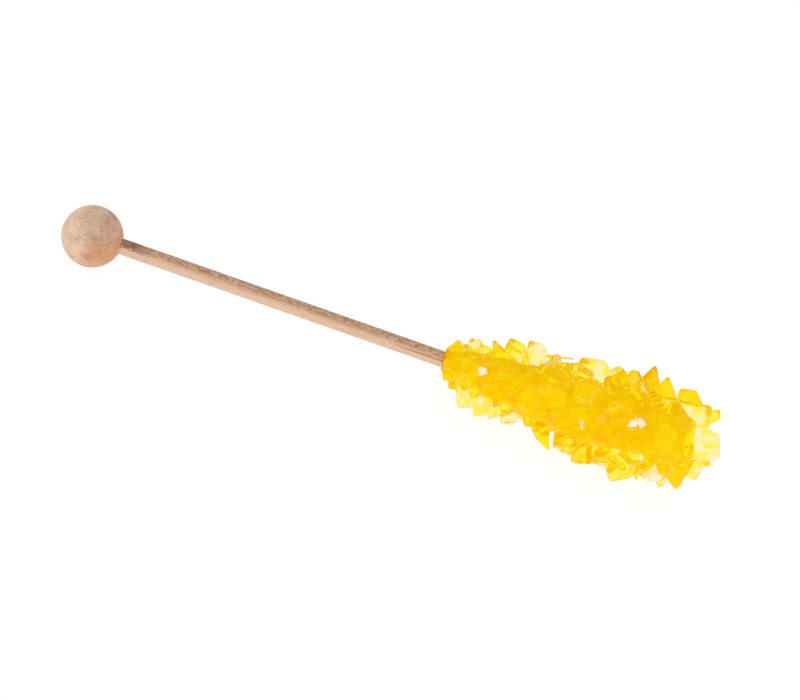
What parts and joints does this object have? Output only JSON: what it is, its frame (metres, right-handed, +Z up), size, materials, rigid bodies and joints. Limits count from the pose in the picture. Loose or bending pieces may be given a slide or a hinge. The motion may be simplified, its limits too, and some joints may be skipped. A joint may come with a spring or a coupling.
{
  "type": "rock candy stick",
  "caption": "Turned wooden ball on a thin wooden dowel, with glassy yellow sugar crystals grown in a club shape round the dowel's far end; lies on its side.",
  "frame": {"origin": "the point of the floor under the ball's centre, in the middle of the small flat that the ball rests on", "axes": "+X along the dowel from the ball towards the candy, +Z up off the floor that the stick lies on, -Y the front"},
  "size_m": [0.142, 0.0212, 0.0217],
  "materials": {
    "ball_beech": "matte",
    "dowel_birch": "matte",
    "rock_sugar": "gloss"
  },
  "bodies": {
    "root": {"wooden_ball": "ball_beech", "wooden_dowel": "dowel_birch", "sugar_crystals": "rock_sugar"}
  },
  "joints": []
}
